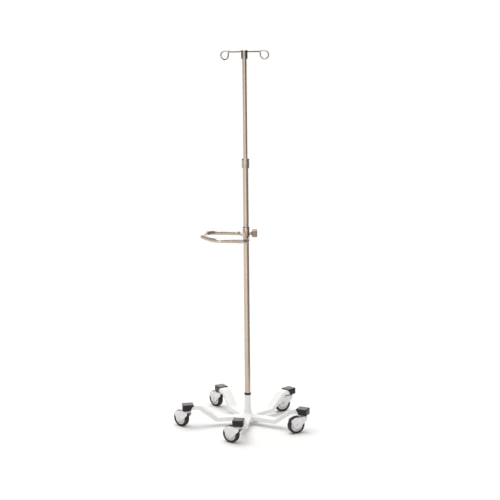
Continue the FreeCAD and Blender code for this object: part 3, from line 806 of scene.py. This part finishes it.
class POLE_OT_hook_head(bpy.types.Operator):
    """Turned head that carries the hooks on top of the mast"""

    bl_idname = "pole.hook_head"
    bl_label = "Hook head"

    def execute(self, context):
        low, high = span("hook_head", 2)
        radius = width("hook_head") / 2
        bore = width("inner_tube") / 2 + 0.02 * MM
        seat = span("inner_tube", 2)[1]
        rings = [
            (2 * MM, seat),
            (bore, seat),
            (bore, low),
            *rings_from(radius, low, (-0.7, 0), (0, 0.7), (0, 4)),
            *rings_from(radius, low, (-0.5, 4.5), (-0.5, 5.3), (0, 5.8)),
            *rings_from(radius, high, (0, -3.4), (-0.4, -1.8), (-1.5, -0.6), (-3.2, 0)),
            (2 * MM, high),
        ]
        piece = turned("hook_crown", rings, 72, solid=True)
        show(piece, "mast", "stainless_bright", "hook_head")
        return {"FINISHED"}


class POLE_OT_hooks(bpy.types.Operator):
    """Two bent-wire pigtail hooks"""

    bl_idname = "pole.hooks"
    bl_label = "Pigtail hooks"

    HEAD_YAW = math.radians(20)
    ARM_START = 4 * MM
    ARM_LEVEL = 1645 * MM
    ARM_REACH = 72.5 * MM
    ARM_BEND = 6 * MM
    EYE_LEVEL = 1631 * MM
    EYE_RADIUS = 17.5 * MM
    LEFT_SWING = math.radians(8)
    RIGHT_SWING = math.radians(-20)
    TIP_SWING = math.radians(22)
    TIP_LENGTH = 20 * MM

    def execute(self, context):
        self.make_hook(context, "hook_left", -1, self.LEFT_SWING)
        self.make_hook(context, "hook_right", 1, self.RIGHT_SWING)
        return {"FINISHED"}

    def make_hook(self, context, name, side, swing):
        radius = context.scene.pole_sizes.wire_radius
        up = Vector((0, 0, 1))
        outward = Matrix.Rotation(self.HEAD_YAW, 3, "Z") @ Vector((side, 0, 0))
        eye_way = Matrix.Rotation(swing, 3, "Z") @ outward
        tip_way = Matrix.Rotation(-self.TIP_SWING, 3, "Z") @ -eye_way
        start = outward * self.ARM_START + up * self.ARM_LEVEL
        round_section(radius, start, outward, 20)
        arm, drop = self.ARM_REACH - self.ARM_BEND, self.ARM_LEVEL - self.ARM_BEND
        run(outward * (arm - self.ARM_START))
        bend(outward * arm + up * drop, outward.cross(up), -math.pi / 2, 8)
        run(-up * (drop - self.EYE_LEVEL))
        eye = outward * self.ARM_REACH + up * self.EYE_LEVEL + eye_way * self.EYE_RADIUS
        bend(eye, eye_way.cross(up), math.pi, 28)
        outer = eye + eye_way * self.EYE_RADIUS
        bend(outer + tip_way * self.EYE_RADIUS, up.cross(tip_way), math.pi / 2, 16)
        run(tip_way * (self.TIP_LENGTH - 2.5 * MM))
        tip = outer + tip_way * (self.EYE_RADIUS + self.TIP_LENGTH) + up * self.EYE_RADIUS
        for step, back, scale in ((1.3, 1.2, 0.9), (0.8, 0.4, 0.6)):
            run(tip_way * (step * MM))
            centre = tip - tip_way * back * MM
            bpy.ops.transform.resize(value=(scale,) * 3, center_override=tuple(centre))
        close_ends()
        piece = settle(name + "_wire")
        show(piece, "mast", "stainless_bright", name)


# --- handle


class POLE_OT_hand_loop(bpy.types.Operator):
    """Closed hand loop of round tube"""

    bl_idname = "pole.hand_loop"
    bl_label = "Hand loop"

    YAW = math.radians(9)
    TILT = math.radians(3)
    LEVEL = 846.4 * MM
    # x, y and bend radius of the corners, x and y of the ends, in millimetres
    CORNERS = ((-10, -110, 25), (-157, -110, 60), (-199.5, 0, 75), (-157, 110, 60), (-10, 110, 25))
    ENDS = ((0, -14.5), (0, 14.5))

    def execute(self, context):
        radius = context.scene.pole_sizes.loop_radius
        points = [Vector((x * MM, y * MM, 0)) for x, y, _ in self.CORNERS]
        first, last = (Vector((x * MM, y * MM, 0)) for x, y in self.ENDS)
        round_section(radius, first, (points[0] - first).normalized(), 32)
        here = first
        for corner, after, (*_, bend_radius) in zip(points, points[1:] + [last], self.CORNERS):
            here = turn_corner(here, corner, after, bend_radius * MM, 12)
        run(last - here)
        close_ends()
        bpy.ops.object.mode_set(mode="OBJECT")
        turn = Matrix.Rotation(self.YAW, 4, "Z") @ Matrix.Rotation(self.TILT, 4, "Y")
        context.object.matrix_world = Matrix.Translation((0, 0, self.LEVEL)) @ turn
        piece = settle("hand_loop")
        show(piece, "handle", "stainless_bright", "handle_loop")
        return {"FINISHED"}


def turn_corner(here, corner, after, radius, steps):
    """Draw the ring straight to a corner and round it; gives where the next straight starts."""
    coming = (corner - here).normalized()
    going = (after - corner).normalized()
    angle = coming.angle(going)
    back = radius * math.tan(angle / 2)
    start = corner - coming * back
    run(start - here)
    axis = coming.cross(going).normalized()
    centre = start + axis.cross(coming) * radius
    bend(centre, axis, angle, steps)
    return corner + going * back


class POLE_OT_clamp_sleeve(bpy.types.Operator):
    """Clamp sleeve of the hand loop with its threaded boss"""

    bl_idname = "pole.clamp_sleeve"
    bl_label = "Clamp sleeve"

    def execute(self, context):
        low, high = span("handle_sleeve", 2)
        radius = width("handle_sleeve") / 2
        bore = 13.46 * MM
        level = knob_axis()
        rings = [
            (bore, low),
            *rings_from(radius, low, (-0.9, 0), (0, 0.9), (0, 4.2), (-0.45, 4.7)),
            *rings_from(radius, high, (-0.45, -4.7), (0, -4.2), (0, -0.9), (-0.9, 0)),
            (bore, high),
            (bore, low),
        ]
        sleeve = turned("clamp_sleeve", rings, 72)
        boss_rings = rings_from(0, 0, (9.5, 14.2), (9.5, 20.9), (8.9, 21.5))
        boss = turned("boss", boss_rings, 48, "X", level, solid=True)
        cut(sleeve, boss, "UNION")
        drill = turned("drill", rings_from(0, 0, (4.1, 5), (4.1, 30)), 32, "X", level, solid=True)
        cut(sleeve, drill)
        settle("clamp_sleeve")
        show(sleeve, "handle", "stainless_bright", "handle_sleeve")
        return {"FINISHED"}


def knob_axis():
    """Where the clamp knob's axis meets the mast's."""
    low, high = span("clamp_screw", 2)
    return (0, 0, (low + high) / 2)


class POLE_OT_clamp_knob(bpy.types.Operator):
    """Fluted clamp knob with a dished face"""

    bl_idname = "pole.clamp_knob"
    bl_label = "Clamp knob"

    def execute(self, context):
        flutes = context.scene.pole_sizes.knob_flutes
        near, far = span("clamp_knob", 0)
        radius = width("clamp_knob") / 2
        level = Vector(knob_axis())
        rings = [
            *rings_from(0, near, (3.95, 0), (9.6, 0), (10, 0.4), (10, 2.8), (12, 3.2)),
            *rings_from(radius, near, (-1.6, 3.8), (-0.5, 4.5), (0, 6), (0, 11)),
            *rings_from(radius, far, (0, -8), (0, -3), (-0.6, -1.2), (-2.2, 0)),
            *rings_from(radius, far, (-5, 0), (-6.2, -1)),
            *rings_from(0, far, (4.6, -1), (3.95, -1.6)),
        ]
        piece = turned("clamp_knob_head", rings, flutes * 6, "X", level, solid=True)
        activate(piece)
        edit()
        step = 2 * math.pi / flutes

        def in_flute(vertex):
            offset = vertex.co - level
            share = (math.atan2(offset.y, offset.z) / step) % 1
            on_rim = math.hypot(offset.y, offset.z) > radius - 0.2 * MM
            return on_rim and share < 0.4

        pick("VERT", in_flute)
        bpy.ops.transform.resize(value=(1, 0.955, 0.955), center_override=tuple(level))
        settle("clamp_knob_head", 30)
        show(piece, "clamp_knob", "knob_metal", "clamp_knob")
        return {"FINISHED"}


# --- base


def castor_frame(number):
    """A castor's swivel axis at floor level, turned so that X points to its wheel."""
    swivel = Vector(JOINTS[f"caster_swivel_{number}"]["pos_m"])
    axle = Vector(JOINTS[f"wheel_spin_{number}"]["pos_m"])
    heading = math.atan2(axle.y - swivel.y, axle.x - swivel.x)
    return Matrix.Translation((swivel.x, swivel.y, 0)) @ Matrix.Rotation(heading, 4, "Z")


def leg_frame(number):
    """The mast's axis at floor level, turned so that X points along a leg."""
    swivel = Vector(JOINTS[f"caster_swivel_{number}"]["pos_m"])
    return Matrix.Rotation(math.atan2(swivel.y, swivel.x), 4, "Z")


def castor_size():
    """Trail, wheel height and swivel radius, read from the joints."""
    swivel = Vector(JOINTS["caster_swivel_1"]["pos_m"])
    axle = Vector(JOINTS["wheel_spin_1"]["pos_m"])
    return (axle - swivel).xy.length, axle.z, swivel.xy.length


class POLE_OT_legs(bpy.types.Operator):
    """Five bent legs of rectangular tube"""

    bl_idname = "pole.legs"
    bl_label = "Legs"

    LOW = 32 * MM
    HIGH = 93 * MM
    FLAT_END = 132 * MM
    SLOPE = math.radians(38)
    BEND = 30 * MM
    TUBE = (40 * MM, 20 * MM)
    ROOT = 33 * MM
    END = 286 * MM
    BEAD = 1.07

    def execute(self, context):
        corner = context.scene.pole_base.leg_corner
        begin()
        middle = (self.ROOT, 0, self.LOW)
        bpy.ops.mesh.primitive_plane_add(size=1, location=middle, rotation=(0, math.pi / 2, 0))
        edit()
        bpy.ops.transform.resize(value=(1, self.TUBE[0], self.TUBE[1]), center_override=middle)
        bpy.ops.mesh.bevel(offset=corner, segments=5, affect="VERTICES")
        bpy.ops.mesh.delete(type="ONLY_FACE")
        bpy.ops.mesh.select_mode(type="EDGE")
        bpy.ops.mesh.select_all(action="SELECT")
        self.draw_bead(middle)
        first = self.FLAT_END + self.BEND * math.tan(self.SLOPE / 2)
        second = first + (self.HIGH - self.LOW) / math.tan(self.SLOPE)
        points = [
            Vector((self.ROOT + 5 * MM, 0, self.LOW)),
            Vector((first, 0, self.LOW)),
            Vector((second, 0, self.HIGH)),
            Vector((self.END, 0, self.HIGH)),
        ]
        here = turn_corner(points[0], points[1], points[2], self.BEND, 8)
        here = turn_corner(here, points[2], points[3], self.BEND, 8)
        run(points[3] - here)
        close_ends()
        leg = settle("leg", 40)
        share_out(leg, "leg_tube_{}", leg_frame, "stand", "white_powder", "leg_{}")
        return {"FINISHED"}

    def draw_bead(self, middle):
        """The weld bead where the leg meets the hub."""
        for step, scale in ((1, self.BEAD), (1.5, 1.02), (1.5, 1 / 1.02), (1, 1 / self.BEAD)):
            run((step * MM, 0, 0))
            bpy.ops.transform.resize(value=(1, scale, scale), center_override=middle)


class POLE_OT_end_caps(bpy.types.Operator):
    """Moulded end caps over the legs' ends"""

    bl_idname = "pole.end_caps"
    bl_label = "End caps"

    def execute(self, context):
        corner = context.scene.pole_base.cap_corner
        low, high = span("end_cap_1", 2)
        wide = 47 * MM
        outer = 294 * MM
        inner = outer - 50 * MM
        profile = rounded(
            [
                (inner, high - 6 * MM),
                (inner, high),
                (outer, high),
                (outer, low),
                (outer - 36 * MM, low),
                (outer - 39 * MM, high - 16 * MM, 6 * MM),
                (outer - 46 * MM, high - 6 * MM, 6 * MM),
            ],
            5,
        )
        cap = plate("cap", profile, wide)
        activate(cap)
        edit()
        pick("EDGE", lambda e: abs(place(e).x - outer) < MM and rise(e) > 5 * MM)
        bpy.ops.mesh.bevel(offset=corner, segments=7, affect="EDGES")
        pick("EDGE", lambda e: abs(place(e).x - inner) < MM and rise(e) > MM)
        bpy.ops.mesh.bevel(offset=4.5 * MM, segments=5, affect="EDGES")
        pick("EDGE", lambda e: is_rim(e, high))
        bpy.ops.mesh.bevel(offset=3.4 * MM, segments=5, affect="EDGES")
        settle("cap")
        leg_room = (outer - 88.2 * MM, outer - 7.8 * MM)
        pocket = block_cutter(leg_room, 40.2 * MM, (82.9 * MM, 103.1 * MM))
        cut(cap, pocket)
        soften(cap, 0.5 * MM, 2, 50)
        settle("cap", 40)
        share_out(cap, "cap_{}", leg_frame, "stand", "black_cap", "end_cap_{}")
        return {"FINISHED"}


def is_rim(edge, level):
    """Whether an edge lies at a level and has the flat face on only one side."""
    if max(abs(vertex.co.z - level) for vertex in edge.verts) > 0.05 * MM:
        return False
    flat = [abs(face.normal.z) > 0.9 for face in edge.link_faces]
    return len(flat) == 2 and flat[0] != flat[1]


class POLE_OT_forks(bpy.types.Operator):
    """Pressed castor forks: fan-shaped side plates over the wheels, down to the axles"""

    bl_idname = "pole.forks"
    bl_label = "Castor forks"

    def execute(self, context):
        for braked in (False, True):
            fork = self.make_fork(context.scene.pole_base.fork_sheet, braked)
            numbers = [number for number in CASTORS if (number in BRAKED) == braked]
            share_out(
                fork, "fork_{}", castor_frame, "caster_{}", "zinc", "caster_fork_{}", numbers
            )
        return {"FINISHED"}

    def make_fork(self, sheet, braked):
        trail, axle, _ = castor_size()
        crown, under = 73.9 * MM, 70.4 * MM
        wide = 33 * MM
        gap = wide - 2 * sheet
        profile = rounded(
            [
                (-15 * MM, crown),
                (trail + 5 * MM, crown, 14 * MM),
                (trail + 33 * MM, axle + 25 * MM, 9 * MM),
                (trail + 24 * MM, axle + 8 * MM, 12 * MM),
                (trail + 9 * MM, axle - 13 * MM, 11 * MM),
                (trail - 10 * MM, axle - 13 * MM, 12 * MM),
                (-15 * MM, under - 8 * MM),
            ],
            8,
        )
        fork = plate("fork", profile, wide)
        activate(fork)
        edit()
        pick("EDGE", lambda e: place(e).x < -14 * MM and rise(e) > 5 * MM)
        bpy.ops.mesh.bevel(offset=11 * MM, segments=8, affect="EDGES")
        settle("fork")
        soften(fork, 0.8 * MM, 3, 40)
        cut(fork, block_cutter((-40 * MM, trail - 16 * MM), gap, (-5 * MM, under)))
        cut(fork, block_cutter((trail, trail + 60 * MM), gap, (-5 * MM, 90 * MM)))
        at = (trail, 0, axle)
        wheel = axle + 2.2 * MM
        cut(fork, turned("space", [(wheel, -gap / 2), (wheel, gap / 2)], 96, "Y", at, solid=True))
        if braked:
            cut(fork, block_cutter((15.2 * MM, 34 * MM), gap, (under - MM, crown + 5 * MM)))
        for side in (-1, 1):
            seat = side * (wide / 2 - 0.5 * MM)
            rings = rings_from(0, seat, (9, 0), (9, side * 1.5), (8.2, side * 2))
            cut(fork, turned("boss", rings, 48, "Y", at, solid=True), "UNION")
        pin_rings = [(5.6 * MM, under - 15 * MM), (5.6 * MM, crown + 9 * MM)]
        cut(fork, turned("pin", pin_rings, 40, solid=True))
        if braked:
            self.add_ears(fork, wide, sheet)
        return settle("fork", 40)

    def add_ears(self, fork, wide, sheet):
        """Two rounded ears for the brake pedal's pivot."""
        for side in (-1, 1):
            inside, outside = wide / 2 - sheet - 0.15 * MM, wide / 2 + 0.3 * MM
            rings = ((3.6 * MM, side * inside), (3.6 * MM, side * outside))
            cut(fork, turned("ear", rings, 32, "Y", BRAKE_PIVOT, solid=True), "UNION")


class POLE_OT_brake_pedals(bpy.types.Operator):
    """Curved brake pedals over two of the wheels"""

    bl_idname = "pole.brake_pedals"
    bl_label = "Brake pedals"

    def execute(self, context):
        trail, axle, _ = castor_size()
        half = 13.6 * MM
        inner, outer = axle + 2.5 * MM, axle + 4.1 * MM
        beyond_toe = 4.5 * MM
        heel, toe = math.radians(116), math.radians(64)

        def along(radius, polar, beyond=0.0):
            x = trail + radius * math.cos(polar) + beyond * math.sin(polar)
            return x, axle + radius * math.sin(polar) - beyond * math.cos(polar)

        steps = 14
        top = [along(outer, heel + (toe - heel) * i / steps) for i in range(steps + 1)]
        under = [along(inner, toe + (heel - toe) * i / steps) for i in range(steps + 1)]
        outline = [along(outer, heel, -1.5 * MM), *top, along(outer, toe, beyond_toe)]
        outline += [along(inner, toe, beyond_toe), *under, along(inner, heel, -1.5 * MM)]
        pedal = plate("pedal", outline, 2 * half)
        activate(pedal)
        edit()
        pick("EDGE", lambda e: place(e).x > trail + 20 * MM and rise(e) > MM)
        bpy.ops.mesh.bevel(offset=4 * MM, segments=5, affect="EDGES")
        settle("pedal")
        soften(pedal, 0.5 * MM, 2, 50)
        barrel_rings = [(2.7 * MM, -half), (2.7 * MM, half)]
        barrel = turned("barrel", barrel_rings, 32, "Y", BRAKE_PIVOT, solid=True)
        cut(pedal, barrel, "UNION")
        pin_half = 17.3 * MM
        pin_rings = rings_from(0, -pin_half, (1.2, 0), (1.5, 0.3))
        pin_rings += rings_from(0, pin_half, (1.5, -0.3), (1.2, 0))
        cut(pedal, turned("pin", pin_rings, 24, "Y", BRAKE_PIVOT, solid=True), "UNION")
        settle("pedal", 40)
        share_out(
            pedal, "pedal_{}", castor_frame, "brake_pedal_{}", "zinc", "brake_pedal_{}", BRAKED
        )
        return {"FINISHED"}


class POLE_OT_wheels(bpy.types.Operator):
    """Rims and tyres of the five castors"""

    bl_idname = "pole.wheels"
    bl_label = "Wheels"

    def execute(self, context):
        self.make_tyres()
        self.make_rims()
        return {"FINISHED"}

    def make_tyres(self):
        trail, axle, _ = castor_size()
        bore = 27.52 * MM
        half = 11.5 * MM
        side = [
            *rings_from(bore, half, (0, -1.5), (1, -0.6), (2.5, -0.3), (4, 0)),
            *rings_from(axle, half, (-2.6, -0.15), (-1.1, -0.9), (-0.3, -2.2), (0, -3.8)),
            *rings_from(axle, half, (0, -5.2), (-1, -5.5), (-1, -6.5), (0, -6.8)),
        ]
        rings = mirror_rings(side)
        tyre = turned("tyre", rings, 96, "Y", (trail, 0, axle))
        share_out(tyre, "tyre_tread_{}", castor_frame, "wheel_{}", "tyre_rubber", "tyre_{}")

    def make_rims(self):
        trail, axle, _ = castor_size()
        side = [
            *rings_from(0, 0, (4.06, 13.2), (8.6, 13.2), (9.4, 12.4), (9.8, 6.6), (11, 5)),
            *rings_from(0, 0, (17, 4.4), (21.6, 4.8), (22.8, 6.2), (23.6, 9.4), (24.4, 10)),
            *rings_from(27.5 * MM, 0, (-0.6, 10), (0, 9.6)),
        ]
        rings = mirror_rings(side)
        rim = turned("rim", rings, 80, "Y", (trail, 0, axle))
        share_out(rim, "rim_{}", castor_frame, "wheel_{}", "rim_plastic", "wheel_rim_{}")


def mirror_rings(side):
    """Rings given for one side of a wheel, completed on the other side and closed."""
    return side + [(radius, -reach) for radius, reach in reversed(side)] + side[:1]


class POLE_OT_axle_bolts(bpy.types.Operator):
    """Axle bolts with a hexagon head, washers and nut"""

    bl_idname = "pole.axle_bolts"
    bl_label = "Axle bolts"

    def execute(self, context):
        trail, axle, _ = castor_size()
        seat = 18 * MM
        at = Vector((trail, 0, axle))
        shank = [(4 * MM, -seat - 2 * MM), (4 * MM, seat + 5.6 * MM), (3.6 * MM, seat + 6 * MM)]
        bolt = turned("bolt", shank, 40, "Y", at, solid=True)
        for side, thick in ((-1, 3.5), (1, 4)):
            face = side * seat
            washer = rings_from(0, face, (6.5, 0), (6.5, side * 0.9), (6.2, side * 1.1))
            cut(bolt, turned("washer", washer, 40, "Y", at, solid=True), "UNION")
            nut = rings_from(0, face, (6.3, side), (6.3, side * (thick - 0.7)), (5.3, side * thick))
            cut(bolt, turned("nut", nut, 6, "Y", at, solid=True), "UNION")
        settle("bolt", 30)
        share_out(bolt, "axle_bolt_{}", castor_frame, "caster_{}", "zinc", "axle_{}")
        return {"FINISHED"}


class POLE_OT_inner_parts(bpy.types.Operator):
    """Finishes of the parts that stay as they were designed"""

    bl_idname = "pole.inner_parts"
    bl_label = "Inner parts"

    def execute(self, context):
        slots = {row["node"]: row["material_slot"] for row in frame["record"]["subparts"]}
        for name, node in frame["nodes"].items():
            if node.hide_render:
                continue
            node.data.materials.clear()
            node.data.materials.append(FINISHES[slots[name]])
        return {"FINISHED"}


PIECES = (
    POLE_OT_mast,
    POLE_OT_collar,
    POLE_OT_column,
    POLE_OT_hook_head,
    POLE_OT_hooks,
    POLE_OT_hand_loop,
    POLE_OT_clamp_sleeve,
    POLE_OT_clamp_knob,
    POLE_OT_legs,
    POLE_OT_end_caps,
    POLE_OT_forks,
    POLE_OT_brake_pedals,
    POLE_OT_wheels,
    POLE_OT_axle_bolts,
    POLE_OT_inner_parts,
    POLE_OT_studio,
)


class POLE_PT_panel(bpy.types.Panel):
    """Lists the pole's settings and pieces"""

    bl_idname = "POLE_PT_panel"
    bl_label = "Infusion Pole"
    bl_space_type = "VIEW_3D"
    bl_region_type = "UI"
    bl_category = "Infusion Pole"

    def draw(self, context):
        scene = context.scene
        for group in (scene.pole_sizes, scene.pole_base, scene.pole_finishes, scene.pole_studio):
            box = self.layout.box()
            for name in group.bl_rna.properties.keys():
                if name not in {"rna_type", "name"}:
                    box.prop(group, name)
        for piece in PIECES:
            self.layout.operator(piece.bl_idname)


GROUPS = {
    "pole_sizes": PoleSizes,
    "pole_base": BaseSizes,
    "pole_finishes": FinishColours,
    "pole_studio": StudioSettings,
}


def register():
    for name, group in GROUPS.items():
        bpy.utils.register_class(group)
        setattr(bpy.types.Scene, name, bpy.props.PointerProperty(type=group))
    for piece in PIECES:
        bpy.utils.register_class(piece)
    bpy.utils.register_class(POLE_PT_panel)


def unregister():
    bpy.utils.unregister_class(POLE_PT_panel)
    for piece in reversed(PIECES):
        bpy.utils.unregister_class(piece)
    for name, group in GROUPS.items():
        delattr(bpy.types.Scene, name)
        bpy.utils.unregister_class(group)


def main():
    register()
    FINISHES.update(make_finishes(bpy.context.scene.pole_finishes))
    for piece in PIECES:
        group, name = piece.bl_idname.split(".")
        getattr(getattr(bpy.ops, group), name)()


if __name__ == "__main__":
    main()
